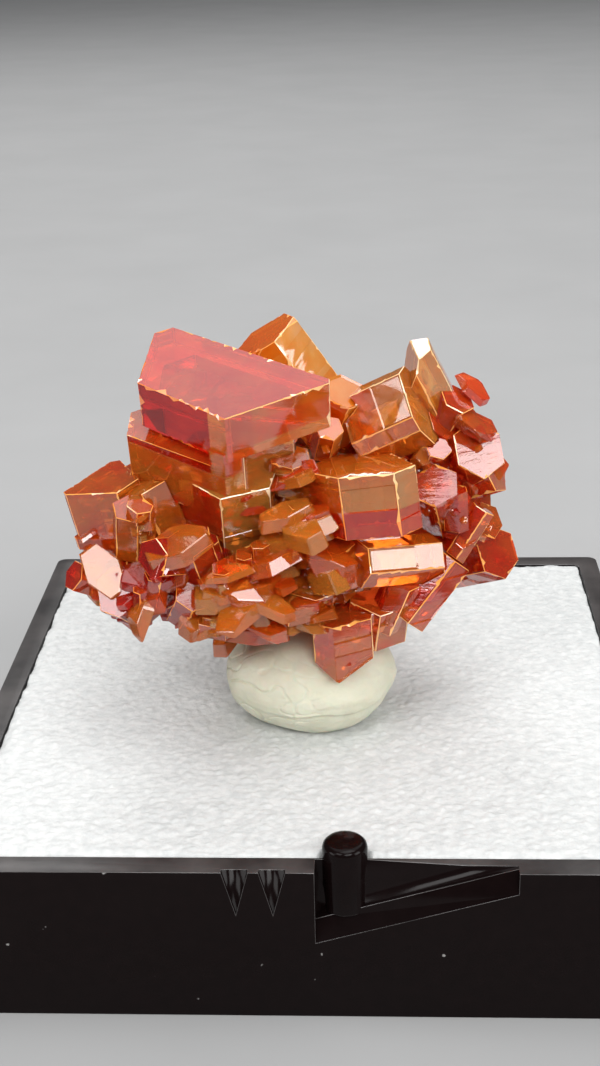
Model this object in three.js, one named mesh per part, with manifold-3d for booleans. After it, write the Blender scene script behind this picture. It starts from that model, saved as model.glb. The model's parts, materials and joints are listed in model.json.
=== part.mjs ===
// Vanadinite crystals on matrix, held by a ball of mineral tack on the foam of a thumbnail display box.
// Millimetres, +Z up. The origin is the middle of the box's underside, with the box front facing -Y.
import * as THREE from 'three';
import { mergeVertices } from 'three/addons/utils/BufferGeometryUtils.js';
import Module from 'manifold-3d';

const wasm = await Module();
wasm.setup();

// ---------------------------------------------------------------- driving dimensions
const boxWidth = 32;
const boxHeight = 7.3;
const wallThickness = 1.1;
const floorThickness = 1;
const cornerRadius = 0.5;
const seatGap = 0.1; // between two pieces that rest on each other
const crystalGap = 0.06; // between neighbouring crystals that meet without joining
const foamRise = 0.15; // the foam stands this much above the box rim
const latchLength = 8.4; // the sloping notch in the front wall
const latchDepth = 2.5;
const latchBevel = 1; // the slanting face under the notch
const latchStart = 0.4;
const latchWeb = 0.5; // wall left behind the notch
const latchSlant = [-0.1, -1, 0.35]; // the way that the slanting face looks
const postRadius = 0.95;
const postTop = 8.2;
const postStart = 0.7; // the post's left side
const postInset = 0.1; // from the front of the wall to the front of the post
const postFoot = 0.3; // the post ends this much above the notch's low corner
const ribSpacing = 1.55; // the two small wedges pressed into the front wall
const ribWidth = 1.1;
const ribHeight = 2.1;
const ribSink = 0.25;
const ribOffset = 0.2; // the wedges are counted from this far left of the notch
const tackRadii = [4.05, 3.9, 2.5];
const tackCentre = [-0.2, -2.4, 9.4];
const matrixRadii = [7.2, 4.6, 4.4];
const matrixCentre = [-0.9, 1.6, 15.7];

const foamTop = boxHeight + foamRise;
const innerWidth = boxWidth - 2 * wallThickness;
const frontFace = -boxWidth / 2;
const farAway = 60; // half-space blocks and uncut outlines reach this far
const cutterOverrun = 1; // cutting blocks stick out this far past what they cut

// ---------------------------------------------------------------- solids
function toSolid(geometry) {
  const bare = geometry.clone();
  bare.deleteAttribute('normal');
  bare.deleteAttribute('uv');
  const merged = mergeVertices(bare, 1e-5);
  return new wasm.Manifold(new wasm.Mesh({
    numProp: 3,
    vertProperties: new Float32Array(merged.attributes.position.array),
    triVerts: new Uint32Array(merged.index.array),
  }));
}

function toGeometry(solid) {
  const mesh = solid.getMesh();
  const geometry = new THREE.BufferGeometry();
  geometry.setAttribute('position', new THREE.BufferAttribute(new Float32Array(mesh.vertProperties), 3));
  geometry.setIndex(new THREE.BufferAttribute(new Uint32Array(mesh.triVerts), 1));
  geometry.computeVertexNormals();
  return geometry;
}

function join(solids) {
  return solids.reduce((whole, next) => whole.add(next));
}

// The biggest connected body, so that a cut leaves no loose crumbs.
function mainBody(solid) {
  const bodies = solid.decompose();
  return bodies.reduce((best, body) => (body.volume() > best.volume() ? body : best));
}

// A seeded random source, so that every build is the same.
function randomSource(seed) {
  let state = seed;
  return () => {
    state = (state * 1664525 + 1013904223) % 4294967296;
    return state / 4294967296;
  };
}

// ---------------------------------------------------------------- crystals
// w is the crystal's long axis, u is +X laid flat on its end face, and v completes the frame.
function crystalAxes(axis) {
  const w = new THREE.Vector3(...axis).normalize();
  const u = new THREE.Vector3(1, 0, 0);
  u.addScaledVector(w, -u.dot(w)).normalize();
  return { u, v: new THREE.Vector3().crossVectors(w, u), w };
}

// The six-sided outline whose side k faces spin + 60 k degrees, at its own distance from the middle.
function hexagonOutline(spin, sides) {
  const square = [[-farAway, -farAway], [farAway, -farAway], [farAway, farAway], [-farAway, farAway]];
  let outline = square.map(([x, y]) => new THREE.Vector2(x, y));
  sides.forEach((distance, k) => {
    const angle = THREE.MathUtils.degToRad(spin + 60 * k);
    const normal = new THREE.Vector2(Math.cos(angle), Math.sin(angle));
    const kept = [];
    outline.forEach((here, i) => {
      const next = outline[(i + 1) % outline.length];
      const past = here.dot(normal) - distance;
      const nextPast = next.dot(normal) - distance;
      if (past <= 0) kept.push(here);
      if (past * nextPast < 0) kept.push(here.clone().lerp(next, past / (past - nextPast)));
    });
    outline = kept;
  });
  return outline;
}

// Everything beyond a plane: a big block whose near face is that plane.
function beyondPlane(point, normal) {
  const block = new THREE.BoxGeometry(2 * farAway, 2 * farAway, 2 * farAway);
  block.translate(0, 0, farAway);
  const turn = new THREE.Quaternion().setFromUnitVectors(new THREE.Vector3(0, 0, 1), normal);
  block.applyQuaternion(turn);
  block.translate(point.x, point.y, point.z);
  return toSolid(block);
}

// A crystal: `at` is the middle of its end face, `drop` and `height` say which stretch of the axis it
// fills, and each of its `facets` is a plane in the crystal's frame: [u, v, w of the normal, distance].
function crystalSolid(crystal, grow = 0) {
  const { at, axis, spin = 0, sides, drop = 0, height, facets = [] } = crystal;
  const six = Array.isArray(sides) ? sides : Array(6).fill(sides);
  const shape = new THREE.Shape(hexagonOutline(spin, six.map((d) => d + grow)));
  const prism = new THREE.ExtrudeGeometry(shape, { depth: height + 2 * grow, bevelEnabled: false });
  prism.translate(0, 0, -drop - height - grow);
  const { u, v, w } = crystalAxes(axis);
  prism.applyMatrix4(new THREE.Matrix4().makeBasis(u, v, w));
  prism.translate(...at);
  let solid = toSolid(prism);
  for (const [nu, nv, nw, distance] of facets) {
    const normal = new THREE.Vector3().addScaledVector(u, nu).addScaledVector(v, nv).addScaledVector(w, nw);
    normal.normalize();
    const point = new THREE.Vector3(...at).addScaledVector(normal, distance + grow);
    solid = solid.subtract(beyondPlane(point, normal));
  }
  return solid;
}

function crystalGroup(crystals, grow = 0) {
  return join(crystals.map((crystal) => crystalSolid(crystal, grow)));
}

// ---------------------------------------------------------------- the crystals, front ones first
const tilt = THREE.MathUtils.degToRad(18);
const stack = { at: [-3.3, -3, 24.6], axis: [0, -Math.sin(tilt), Math.cos(tilt)] };

// The big red tablet on its stem, and the stepped block under it, all along one axis.
const mainCrystal = [
  {
    ...stack, height: 2.4, sides: [4.3, 1.85, 4.9, 4.3, 3, 2.75],
    facets: [[-0.56, -0.83, 0, 2.8], [-1, 0.09, 0, 4.16]],
  },
  { ...stack, drop: 2, height: 2.6, sides: [2.6, 1.5, 3.5, 3.4, 2.3, 1.7] },
  { ...stack, drop: 2, height: 2.6, sides: [0.5, 1.5, 2, 1, 3, 2.65] },
  { ...stack, drop: 2.85, height: 3, sides: [-0.5, 1.5, 3.5, 5, 3, 3], facets: [[0.62, 0.36, 0.7, -3.2]] },
  { ...stack, drop: 4.3, height: 3.8, spin: -10, sides: [2, 1.5, 3.5, 4.3, 3.05, 3.05] },
];

// The broken amber prism that leans over behind the tablet.
const amberCrystal = [
  {
    at: [-2.2, 1.4, 25.1], axis: [-0.55, -0.1, 0.83], spin: 25, height: 6,
    sides: [1.6, 1.5, 1.6, 1.6, 1.5, 1.5],
    facets: [[0.75, -0.35, 0.55, 1.25], [-0.4, -0.75, 0.5, 1.15]],
  },
  { at: [1.6, -0.2, 22.9], axis: [0.3, -0.4, 0.86], spin: 10, sides: 1, height: 3 },
  { at: [0.9, -1.6, 21.6], axis: [0.15, -0.65, 0.75], spin: 20, sides: 0.6, height: 2.2 },
];

// The pale prism at the upper right, with the pointed one behind it.
const paleCrystal = [
  {
    at: [5.2, -1.2, 22.3], axis: [0.82, -0.3, 0.48], spin: 30, height: 3.4,
    sides: [1.5, 1.6, 2.1, 1.3, 1.4, 1.5], facets: [[-0.5, -0.87, 0, 1.35]],
  },
  {
    at: [4.8, -0.4, 24.9], axis: [-0.42, -0.2, 0.88], spin: 5, height: 5,
    sides: [0.75, 0.9, 1.3, 1.5, 1.2, 0.9], facets: [[-0.8, -0.15, 0.6, 0]],
  },
];

// The clear block under the tablet's right end.
const blockCrystal = [
  {
    at: [2.2, -3.3, 20.4], axis: [-0.12, 0.12, 0.98], spin: 20, height: 2.9,
    sides: [2, 2.4, 2.4, 2.5, 2.1, 2.8],
    facets: [[-0.79, -0.62, 0, 1.9]],
  },
];

// The barrel lying below it.
const barrelCrystal = [
  { at: [2.2, -5, 16.3], axis: [-0.85, -0.5, 0.15], spin: 12, sides: 1, height: 4 },
];

// The terraced crystal at the far left, with a small bright one against it.
const terrace = { at: [-9.6, -3, 19.2], axis: [-0.2, -0.05, 0.97], spin: 25 };
const frontCut = [-0.36, -0.93, 0];
const leftCrystals = [
  { ...terrace, height: 2.3, sides: [1.75, 3.2, 1.9, 1.5, 1, 1.2], facets: [[...frontCut, 0.45]] },
  { ...terrace, drop: 2.2, height: 0.55, sides: [1.6, 3, 1.8, 1.7, 1.2, 1.2], facets: [[...frontCut, 0.75]] },
  { ...terrace, drop: 2.6, height: 0.6, sides: [1.6, 3, 1.8, 1.5, 1, 1.2], facets: [[...frontCut, 0.5]] },
  { ...terrace, drop: 3.1, height: 0.5, sides: [1.7, 3, 1.8, 1.75, 1.3, 1.3], facets: [[...frontCut, 0.8]] },
  { ...terrace, drop: 3.5, height: 0.6, sides: [1.6, 3, 1.8, 1.5, 1.1, 1.3], facets: [[...frontCut, 0.6]] },
  { ...terrace, drop: 4, height: 1, sides: [1.7, 3, 1.8, 1.7, 1.4, 1.4], facets: [[...frontCut, 0.9]] },
  {
    at: [-7.5, -5.2, 19.2], axis: [0.15, -0.4, 0.9], spin: -10,
    sides: [0.55, 0.5, 0.5, 0.6, 0.4, 0.4], height: 1.6,
  },
  { at: [-7.9, -4.4, 18.8], axis: [0.1, -0.3, 0.95], spin: 15, sides: 0.9, height: 2.5 },
  { at: [-7.8, -1.6, 19.4], axis: [-0.3, -0.1, 0.95], spin: 5, sides: 1.9, height: 5 },
];

// The small group at the lower left, one of them end on to the front.
const lowerLeftCrystals = [
  {
    at: [-6.8, -6.6, 17.3], axis: [-0.55, -0.78, 0.3], spin: -17, height: 3.6,
    sides: [0.7, 0.7, 0.85, 0.93, 0.78, 0.87],
  },
  {
    at: [-8.7, -5.6, 15.35], axis: [-0.15, -0.8, 0.58], spin: 10,
    sides: [0.95, 0.9, 1, 0.95, 1.2, 1.1], height: 3.5,
  },
  { at: [-8, -5.2, 17.9], axis: [0.54, -0.1, 0.84], spin: 20, sides: 0.45, height: 1.8 },
  { at: [-7.55, -6.4, 15.7], axis: [0.1, -0.3, 0.95], spin: 5, sides: 0.3, height: 1.1 },
  { at: [-6.8, -6.1, 16.3], axis: [0.2, -0.3, 0.93], spin: 25, sides: 0.5, height: 2 },
  { at: [-11, -4, 15.3], axis: [-0.7, -0.5, 0.5], spin: 0, sides: 0.65, height: 2.4 },
  { at: [-5.4, -5.3, 17.6], axis: [-0.2, -0.3, 0.93], spin: 12, sides: 1, height: 3 },
  { at: [-5.2, -6, 15.3], axis: [0.3, -0.6, 0.74], spin: 0, sides: 0.8, height: 2.2 },
  { at: [-6.2, -3.8, 17], axis: [-0.2, -0.35, 0.92], spin: 15, sides: 1.9, height: 3.6 },
  { at: [-8.6, -3.6, 16.4], axis: [-0.45, -0.35, 0.8], spin: 20, sides: 1.6, height: 3 },
];

// The plates and small prisms along the lower edge of the front.
const lowerCrystals = [
  {
    at: [-1.8, -4.5, 15.1], axis: [0.02, -0.2, 0.98], spin: 8,
    sides: [3, 2.4, 2.4, 3.2, 1.6, 1.4], height: 2.1,
  },
  {
    at: [-3.75, -6.1, 16.7], axis: [-0.1, -0.1, 0.99], spin: 8,
    sides: [0.5, 0.6, 0.6, 0.55, 0.75, 0.7], height: 2,
  },
  { at: [-4.3, -5.9, 16.3], axis: [-0.35, -0.15, 0.92], spin: 20, sides: 0.8, height: 1.6 },
  {
    at: [-3.9, -6.4, 14.7], axis: [0, -0.1, 0.99], spin: 9,
    sides: [0.8, 0.6, 0.7, 0.8, 0.35, 0.35], height: 0.4,
  },
  {
    at: [-3.9, -6.4, 14.4], axis: [0, -0.1, 0.99], spin: 9,
    sides: [1, 0.8, 0.8, 0.9, 0.5, 0.5], height: 0.35,
  },
  {
    at: [-3.8, -6.4, 14.1], axis: [0, -0.1, 0.99], spin: 9,
    sides: [1.4, 0.9, 0.9, 1.2, 0.65, 0.6], height: 0.6,
  },
  {
    at: [-0.85, -6.1, 14.75], axis: [0.05, -0.15, 0.98], spin: -5,
    sides: [1.2, 0.8, 1, 1.2, 0.5, 0.5], height: 0.8,
  },
  { at: [0.1, -5.5, 15], axis: [0.1, -0.12, 0.98], spin: 10, sides: [1, 0.7, 1, 1, 0.4, 0.5], height: 0.9 },
  {
    at: [-3.1, -6, 15.25], axis: [-0.1, -0.2, 0.97], spin: 22,
    sides: [1.1, 0.8, 0.9, 1, 0.5, 0.5], height: 0.7,
  },
  { at: [1.5, -6, 16.1], axis: [0.15, -0.85, 0.5], spin: 15, sides: 0.32, height: 2.2 },
  { at: [-2.9, -5.7, 17], axis: [0.05, -0.1, 0.99], spin: 5, sides: 0.35, height: 2 },
  { at: [-2.2, -5.3, 17.4], axis: [-0.05, -0.1, 0.99], spin: 22, sides: 0.4, height: 2.4 },
  { at: [-1.5, -5.2, 17], axis: [0.1, -0.15, 0.98], spin: 12, sides: 0.45, height: 2.3 },
  {
    at: [-2.3, -4.9, 16.8], axis: [0, -0.15, 0.98], spin: 3,
    sides: [1.2, 0.7, 0.8, 1, 0.6, 0.6], height: 2.2,
  },
  { at: [-2.5, -6.1, 16.2], axis: [0, -0.5, 0.86], spin: 0, sides: 0.26, height: 1.2 },
  {
    at: [-0.35, -4.6, 19], axis: [0.03, -0.17, 0.98], spin: 28,
    sides: [0.5, 0.45, 0.45, 0.5, 0.4, 0.4], height: 3.6,
  },
  {
    at: [-0.3, -4.3, 17.9], axis: [0.1, -0.25, 0.96], spin: 12,
    sides: [0.8, 0.7, 0.8, 0.9, 0.6, 0.6], height: 3,
  },
  { at: [2.3, -1.6, 20.9], axis: [0.2, -0.5, 0.85], spin: 22, sides: 1, height: 3.4 },
  { at: [0.3, -4.4, 17.7], axis: [0.2, -0.3, 0.93], spin: 5, sides: 0.7, height: 2.6 },
  { at: [0.9, -4.3, 17.1], axis: [-0.1, -0.3, 0.95], spin: 18, sides: 1.1, height: 2.8 },
  { at: [-0.9, -2.6, 20.6], axis: [0.08, -0.25, 0.96], spin: 10, sides: 0.9, height: 5.5 },
  { at: [0.3, -2.9, 19.2], axis: [-0.1, -0.35, 0.93], spin: 25, sides: 0.8, height: 4.5 },
  { at: [-1.2, -3.4, 18.3], axis: [0.1, -0.4, 0.9], spin: 0, sides: 0.9, height: 3.6 },
];

// The bottom crystal with its flat red top, and the slanting ones to its right.
const bottomCrystals = [
  {
    at: [1.4, -4.8, 13.5], axis: [-0.05, 0.02, 1], spin: -4, height: 3,
    sides: [1.4, 1.5, 1.5, 1.3, 1.16, 0.87],
    facets: [[0.46, 0, -0.89, 2.4], [-0.6, 0, -0.8, 2.4]],
  },
  { at: [6.5, -2.7, 15.6], axis: [0.6, 0.25, 0.75], spin: 10, sides: 0.95, height: 3.6 },
  { at: [4.2, -4, 15], axis: [0.35, -0.1, 0.93], spin: 25, sides: 0.75, height: 2.6 },
  { at: [3.2, -3.4, 14.1], axis: [0.1, -0.3, 0.95], spin: 0, sides: 1.4, height: 2.3 },
];

// The knobbly cluster down the right side.
const rightCrystals = [
  { at: [7, -0.3, 18.6], axis: [0.6, -0.5, 0.6], spin: 0, sides: 1.9, height: 4 },
  { at: [7.8, -1.3, 20.4], axis: [0.45, -0.7, 0.55], spin: 10, sides: 1.25, height: 3.6 },
  { at: [5.7, -3, 19.3], axis: [-0.15, -0.6, 0.78], spin: 0, sides: 1, height: 3 },
  {
    at: [6.75, -3, 19.05], axis: [-0.05, -0.1, 0.99], spin: 5,
    sides: [0.4, 0.5, 0.5, 0.7, 0.45, 0.4], height: 2,
  },
  { at: [8.8, -1.3, 15.2], axis: [0.55, -0.6, 0.4], spin: 20, sides: 1.15, height: 3.5 },
  { at: [6.8, -0.9, 22.7], axis: [0.4, -0.4, 0.8], spin: 15, sides: 0.75, height: 3.4 },
  { at: [8.6, -0.6, 19.2], axis: [0.85, -0.3, 0.4], spin: 0, sides: 1.1, height: 3 },
  { at: [8, -2.2, 17.8], axis: [0.5, 0.15, 0.8], spin: 10, sides: 0.5, height: 2.8 },
  { at: [8.3, -1.2, 16.8], axis: [0.6, -0.6, 0.5], spin: 25, sides: 0.8, height: 3 },
  { at: [5.9, -1.9, 20.7], axis: [0.2, -0.6, 0.75], spin: 20, sides: 0.55, height: 2.4 },
  { at: [6.2, -0.8, 21.7], axis: [0.5, -0.6, 0.6], spin: 5, sides: 0.9, height: 3 },
  { at: [5.2, -1.8, 16.6], axis: [0.3, -0.6, 0.7], spin: 15, sides: 1.6, height: 3.4 },
];

// Crystals over the back and the hidden flanks, spread evenly over one side of the matrix, each
// leaning a little its own way.
const goldenAngle = Math.PI * (3 - Math.sqrt(5));
const rootLength = 2; // how far a crystal reaches down into the matrix
function spreadCrystals({ count, heading, spread, width, rise, seed }) {
  const random = randomSource(seed);
  const between = ([low, high]) => low + (high - low) * random();
  const { u, v, w } = crystalAxes(heading);
  return Array.from({ length: count }, (unused, i) => {
    const swing = spread * Math.sqrt((i + 0.5) / count);
    const turn = i * goldenAngle;
    const outward = w.clone().multiplyScalar(Math.cos(swing))
      .addScaledVector(u, Math.sin(swing) * Math.cos(turn))
      .addScaledVector(v, Math.sin(swing) * Math.sin(turn));
    const height = between(rise);
    const at = matrixRadii.map((r, k) => matrixCentre[k] + outward.getComponent(k) * (r + height));
    const lean = new THREE.Vector3(between([-0.5, 0.5]), between([-0.5, 0.5]), between([-0.3, 0.6]));
    const axis = outward.clone().add(lean);
    const size = between(width);
    const sides = Array.from({ length: 6 }, () => size * between([0.8, 1.2]));
    return { at, axis: axis.toArray(), spin: between([0, 60]), sides, height: height + rootLength };
  });
}
const backCrystals = [
  ...spreadCrystals({
    count: 12, heading: [0.1, 1, 0.35], spread: 1.2, width: [1, 1.9], rise: [0.2, 1.1], seed: 5,
  }),
  ...spreadCrystals({
    count: 13, heading: [0, 1, 0.1], spread: 1.35, width: [0.4, 0.9], rise: [0.1, 0.8], seed: 21,
  }),
];

const crystalGroups = {
  main_crystal: [mainCrystal, 0x9c2a12],
  amber_crystal: [amberCrystal, 0xc96a10],
  pale_crystal: [paleCrystal, 0xb8481c],
  block_crystal: [blockCrystal, 0xa8441a],
  barrel_crystal: [barrelCrystal, 0xb04a1e],
  left_crystals: [leftCrystals, 0xb85014],
  lower_left_crystals: [lowerLeftCrystals, 0xa83016],
  bottom_crystals: [bottomCrystals, 0xa83416],
  right_crystals: [rightCrystals, 0xb04020],
  lower_crystals: [lowerCrystals, 0xb04c1a],
  back_crystals: [backCrystals, 0xa83c14],
};

// ---------------------------------------------------------------- matrix, mineral tack and box
// A lump: a sphere stretched to three radii, with a few waves pressed into it, each shorter and lower
// than the one before.
function lump({ radii, centre, detail, waveHeight, seed }) {
  const random = randomSource(seed);
  const waves = Array.from({ length: 5 }, (unused, i) => {
    const direction = new THREE.Vector3(random() - 0.5, random() - 0.5, random() - 0.5).normalize();
    direction.multiplyScalar(2 + 1.5 * i);
    return { direction, phase: 6 * random(), height: waveHeight / (1 + i) };
  });
  const sphere = new THREE.IcosahedronGeometry(1, detail);
  sphere.deleteAttribute('normal');
  sphere.deleteAttribute('uv');
  const ball = mergeVertices(sphere, 1e-4);
  const position = ball.attributes.position;
  const point = new THREE.Vector3();
  for (let i = 0; i < position.count; i += 1) {
    point.fromBufferAttribute(position, i);
    const rises = waves.map((wave) => wave.height * Math.sin(wave.direction.dot(point) + wave.phase));
    point.multiplyScalar(1 + rises.reduce((sum, rise) => sum + rise));
    position.setXYZ(i, point.x, point.y, point.z);
  }
  ball.scale(...radii);
  ball.translate(...centre);
  return toSolid(ball);
}

// The matrix is a lump broken along flat faces: [x, y, z of the normal, distance from its middle].
const breaks = [
  [-0.7, 0.6, -0.3, 4.9], [0.5, 0.8, -0.35, 4.1], [0.05, 0.3, -0.95, 3.7], [-0.2, 0.95, 0.3, 3.9],
  [0.8, 0.3, -0.5, 5.3], [-0.9, -0.1, -0.4, 6.1], [-0.35, 0.5, 0.8, 3.9], [-0.5, 0.7, 0.5, 4.4],
];
function brokenRock(grow) {
  const radii = matrixRadii.map((r) => r + grow);
  let rock = lump({ radii, centre: matrixCentre, detail: 3, waveHeight: 0.09, seed: 11 });
  for (const [x, y, z, distance] of breaks) {
    const normal = new THREE.Vector3(x, y, z).normalize();
    const point = new THREE.Vector3(...matrixCentre).addScaledVector(normal, distance + grow);
    rock = rock.subtract(beyondPlane(point, normal));
  }
  return rock;
}

function roundedSquare(width, radius) {
  const half = width / 2;
  const inset = half - radius;
  const shape = new THREE.Shape();
  shape.moveTo(-inset, -half);
  shape.lineTo(inset, -half);
  shape.absarc(inset, -inset, radius, -Math.PI / 2, 0);
  shape.absarc(inset, inset, radius, 0, Math.PI / 2);
  shape.absarc(-inset, inset, radius, Math.PI / 2, Math.PI);
  shape.absarc(-inset, -inset, radius, Math.PI, 1.5 * Math.PI);
  return shape;
}

function standingBlock(shape, bottom, top) {
  const depth = top - bottom;
  const block = new THREE.ExtrudeGeometry(shape, { depth, bevelEnabled: false, curveSegments: 4 });
  block.translate(0, 0, bottom);
  return toSolid(block);
}

// A cut into the front wall: an outline in x and z, sunk to a depth.
function frontCutter(corners, depth) {
  const shape = new THREE.Shape(corners.map(([x, z]) => new THREE.Vector2(x, z)));
  const cutter = new THREE.ExtrudeGeometry(shape, { depth: depth + cutterOverrun, bevelEnabled: false });
  cutter.rotateX(Math.PI / 2);
  cutter.translate(0, frontFace + depth, 0);
  return toSolid(cutter);
}

function postSolid(radius, bottom, top) {
  const post = new THREE.CylinderGeometry(radius, radius, top - bottom, 24);
  post.rotateX(Math.PI / 2);
  // The middle stays put whatever the radius, so that a wider copy clears the post evenly.
  post.translate(postStart + postRadius, frontFace + postInset + postRadius, (bottom + top) / 2);
  return toSolid(post);
}

function boxBase() {
  const outside = standingBlock(roundedSquare(boxWidth, cornerRadius), 0, boxHeight);
  const well = roundedSquare(innerWidth, cornerRadius);
  const inside = standingBlock(well, floorThickness, boxHeight + cutterOverrun);
  const low = boxHeight - latchDepth;
  const end = latchStart + latchLength;
  const above = [[end, boxHeight + cutterOverrun], [latchStart, boxHeight + cutterOverrun]];
  const notch = frontCutter([[latchStart, low], [end, boxHeight], ...above], wallThickness - latchWeb);
  const belowCorners = [[latchStart, low - latchBevel], [end, boxHeight - latchBevel], ...above];
  const slantFoot = new THREE.Vector3(latchStart, frontFace, low - latchBevel);
  const slantNormal = new THREE.Vector3(...latchSlant).normalize();
  const bevel = frontCutter(belowCorners, latchBevel).intersect(beyondPlane(slantFoot, slantNormal));
  let base = outside.subtract(inside).subtract(notch).subtract(bevel);
  for (const side of [1, 2]) {
    const x = latchStart - ribOffset - side * ribSpacing;
    const half = ribWidth / 2;
    const wedge = [[x - half, boxHeight], [x, boxHeight - ribHeight], [x + half, boxHeight]];
    base = base.subtract(frontCutter(wedge, ribSink));
  }
  return base.add(postSolid(postRadius, low + postFoot, postTop));
}

function foamInsert() {
  const outline = roundedSquare(innerWidth - 2 * seatGap, cornerRadius);
  const sheet = standingBlock(outline, floorThickness + seatGap, foamTop);
  return sheet.subtract(postSolid(postRadius + seatGap, floorThickness, foamTop + cutterOverrun));
}

// ---------------------------------------------------------------- the part
const part = new THREE.Group();

function addPiece(name, solid, color, roughness) {
  const material = new THREE.MeshStandardMaterial({ color, roughness });
  const mesh = new THREE.Mesh(toGeometry(mainBody(solid)), material);
  mesh.name = name;
  part.add(mesh);
}

addPiece('box_base', boxBase(), 0x14100e, 0.12);
addPiece('foam_insert', foamInsert(), 0xe4e6e2, 0.95);

// Each group is cut back where an earlier one already stands, so neighbours meet along a thin seam.
let taken = null;
for (const [name, [crystals, color]] of Object.entries(crystalGroups)) {
  let solid = crystalGroup(crystals);
  if (taken) solid = solid.subtract(taken);
  addPiece(name, solid, color, 0.12);
  const grown = crystalGroup(crystals, crystalGap);
  taken = taken ? taken.add(grown) : grown;
}

addPiece('matrix', brokenRock(0).subtract(taken), 0x6e5a48, 0.9);

const tackFoot = beyondPlane(new THREE.Vector3(0, 0, foamTop + crystalGap), new THREE.Vector3(0, 0, -1));
const tackBall = lump({ radii: tackRadii, centre: tackCentre, detail: 4, waveHeight: 0.02, seed: 3 });
const tack = tackBall.subtract(tackFoot).subtract(taken).subtract(brokenRock(seatGap));
addPiece('mineral_tack', tack, 0xe8e6d0, 0.8);

export default part;
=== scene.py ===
# %% [markdown]
# # A vanadinite specimen in its display box base
# Vanadinite grows as short six-sided prisms, clear and orange-red, with very shiny faces. Here a
# cluster of them sits on a ball of mineral tack, on the foam of a small black box base. The solids
# give every piece its place and size. This lesson gives them their surface: worn edges, growth
# steps, foam beads, creased tack, and materials that behave as clear crystal, plastic and foam do.

# %% Load the fixed model
import json
import math
import random
import bmesh
import bpy
from mathutils import Matrix, Vector, noise
from mathutils.bvhtree import BVHTree

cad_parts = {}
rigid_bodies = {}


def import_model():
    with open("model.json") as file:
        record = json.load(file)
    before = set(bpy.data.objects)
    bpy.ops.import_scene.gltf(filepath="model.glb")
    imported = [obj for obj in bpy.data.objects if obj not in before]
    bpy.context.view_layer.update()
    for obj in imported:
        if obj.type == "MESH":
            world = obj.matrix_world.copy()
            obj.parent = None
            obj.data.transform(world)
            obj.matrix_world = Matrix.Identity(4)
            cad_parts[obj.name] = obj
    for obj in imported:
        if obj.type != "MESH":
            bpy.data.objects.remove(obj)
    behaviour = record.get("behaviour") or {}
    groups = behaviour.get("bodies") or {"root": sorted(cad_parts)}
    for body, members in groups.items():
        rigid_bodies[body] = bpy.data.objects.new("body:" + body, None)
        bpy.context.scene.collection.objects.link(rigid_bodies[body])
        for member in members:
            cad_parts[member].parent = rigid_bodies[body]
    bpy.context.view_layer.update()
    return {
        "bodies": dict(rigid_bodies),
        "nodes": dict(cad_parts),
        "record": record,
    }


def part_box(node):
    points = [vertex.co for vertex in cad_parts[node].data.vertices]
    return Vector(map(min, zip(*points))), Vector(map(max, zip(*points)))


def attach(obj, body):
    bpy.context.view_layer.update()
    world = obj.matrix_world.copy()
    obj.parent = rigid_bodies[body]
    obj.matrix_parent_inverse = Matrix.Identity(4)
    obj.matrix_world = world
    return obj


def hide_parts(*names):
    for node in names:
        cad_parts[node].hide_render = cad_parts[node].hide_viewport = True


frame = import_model()
MM = 0.001

# %% [markdown]
# ## Camera
# The camera looks down on the specimen by about 23 degrees, from a little right of the middle. It
# comes first, because it decides how much detail each piece needs. Its place and turn are worked
# out from three angles, so that each can be changed alone. The clear crystals bend light strongly,
# so depth of field stays off and every face stays readable.

# %% Place the camera
CAMERA_AZIMUTH = math.radians(2.9)
CAMERA_ELEVATION = math.radians(22.9)
CAMERA_ROLL = math.radians(-1.4)
CAMERA_PLACE = Vector((2.9, -70.0, 45.3)) * MM
CAMERA_LENS = 53.2
SENSOR_LONG_SIDE = 36.0

camera_data = bpy.data.cameras.new("camera")
camera_data.lens = CAMERA_LENS
camera_data.sensor_width = SENSOR_LONG_SIDE
camera_data.clip_start = 1 * MM
camera = bpy.data.objects.new("camera", camera_data)
bpy.context.scene.collection.objects.link(camera)
turn = Matrix.Rotation(CAMERA_AZIMUTH, 4, "Z")
turn = turn @ Matrix.Rotation(math.pi / 2 - CAMERA_ELEVATION, 4, "X")
turn = turn @ Matrix.Rotation(CAMERA_ROLL, 4, "Z")
camera.matrix_world = Matrix.Translation(CAMERA_PLACE) @ turn
bpy.context.scene.camera = camera
print("camera looks along", [round(x, 3) for x in turn @ Vector((0, 0, -1))])

# %% [markdown]
# ## Floor and light
# A studio for a shiny mineral is mostly its light. Each face is a small mirror, so what matters is
# how big and bright each light looks from the stone. A wide dim ceiling gives the flat tops a soft
# veil, and a smaller brighter panel inside it turns only a few faces nearly white. Two low panels
# do the same for faces that look left and right. Two in front fill the body of the crystals with
# light, and one behind shines through them. The room stays dim, so that all the other faces
# keep their own deep colour.

# %% Build the studio
def area_light(name, place, aim, size, watts):
    data = bpy.data.lights.new(name, "AREA")
    data.shape = "RECTANGLE"
    data.size = size[0]
    data.size_y = size[1]
    data.energy = watts
    light = bpy.data.objects.new(name, data)
    light.location = place
    light.rotation_euler = (Vector(aim) - Vector(place)).to_track_quat("-Z", "Y").to_euler()
    light.visible_camera = False
    bpy.context.scene.collection.objects.link(light)
    return light


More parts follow.
